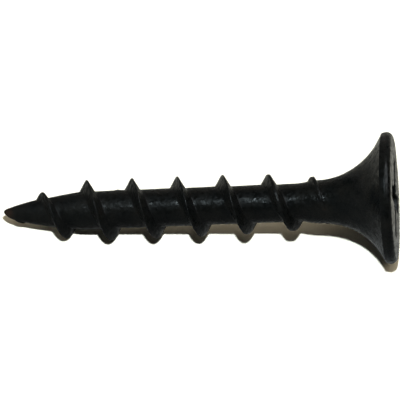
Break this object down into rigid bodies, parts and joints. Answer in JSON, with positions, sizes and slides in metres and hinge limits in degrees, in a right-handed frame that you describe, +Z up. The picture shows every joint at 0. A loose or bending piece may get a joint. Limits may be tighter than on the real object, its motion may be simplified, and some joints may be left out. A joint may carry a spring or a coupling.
{
  "type": "drywall screw",
  "caption": "Black coarse-thread drywall screw with a bugle head, a cross recess for the driver and a sharp point, lying on its side as it comes to rest.",
  "frame": {"origin": "on the floor, under the middle of the screw's box as it lies at rest", "axes": "+Z up. The screw lies along X with its head at +X, raised a few degrees, and its point towards -X."},
  "size_m": [0.0254, 0.0084, 0.0084],
  "materials": {
    "black_phosphate": "satin"
  },
  "bodies": {
    "root": {"drywall_screw": "black_phosphate"}
  },
  "joints": []
}
